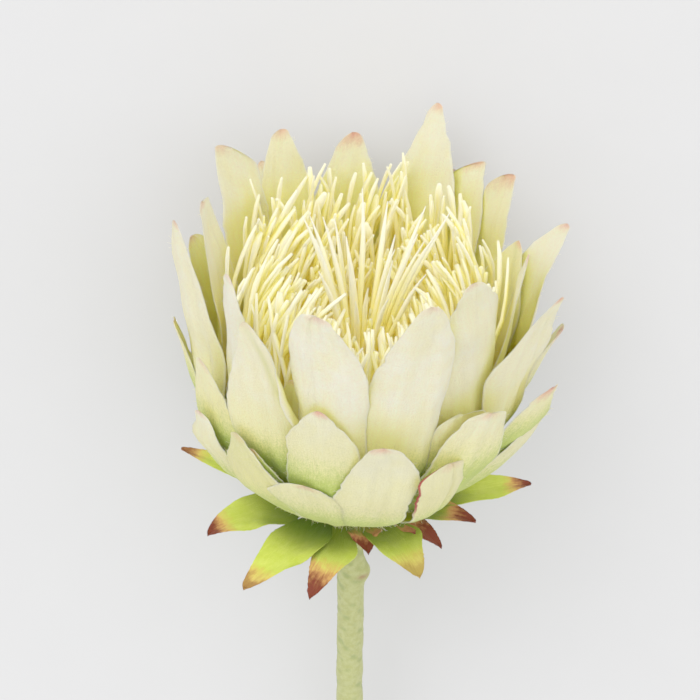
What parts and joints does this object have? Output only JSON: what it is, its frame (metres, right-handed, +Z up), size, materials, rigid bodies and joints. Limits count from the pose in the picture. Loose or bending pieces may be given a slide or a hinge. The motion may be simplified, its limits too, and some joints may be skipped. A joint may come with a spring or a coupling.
{
  "type": "protea flower",
  "caption": "Cut protea bloom: a bowl of pointed bracts round a head of thread-like florets, with a green leaf collar on a bare stem, lying on its side.",
  "frame": {"origin": "centre of the bounding box, on the surface that the flower lies on", "axes": "+Y from the cut end of the stem towards the tips of the bloom, +X to the right of the bloom, +Z up from the surface"},
  "size_m": [0.1334, 0.3186, 0.1246],
  "materials": {
    "stem": "dull pale sage with small darker dents",
    "leaf": "soft matt green with brown-red tips",
    "bract_outer": "matt cream with a fine nap, yellow-green at the base and pink at the tip",
    "bract_inner": "matt cream with a fine nap, yellow inside and pink at the tip",
    "floret": "matt pale yellow, blunt threads",
    "style": "matt ivory, pointed threads"
  },
  "bodies": {
    "root": {"stem": "stem", "leaf_collar": "leaf", "bracts_outer": "bract_outer", "bracts_second": "bract_outer", "bracts_middle": "bract_inner", "bracts_inner": "bract_inner", "floret_ring": "floret", "centre_styles": "style"}
  },
  "joints": []
}
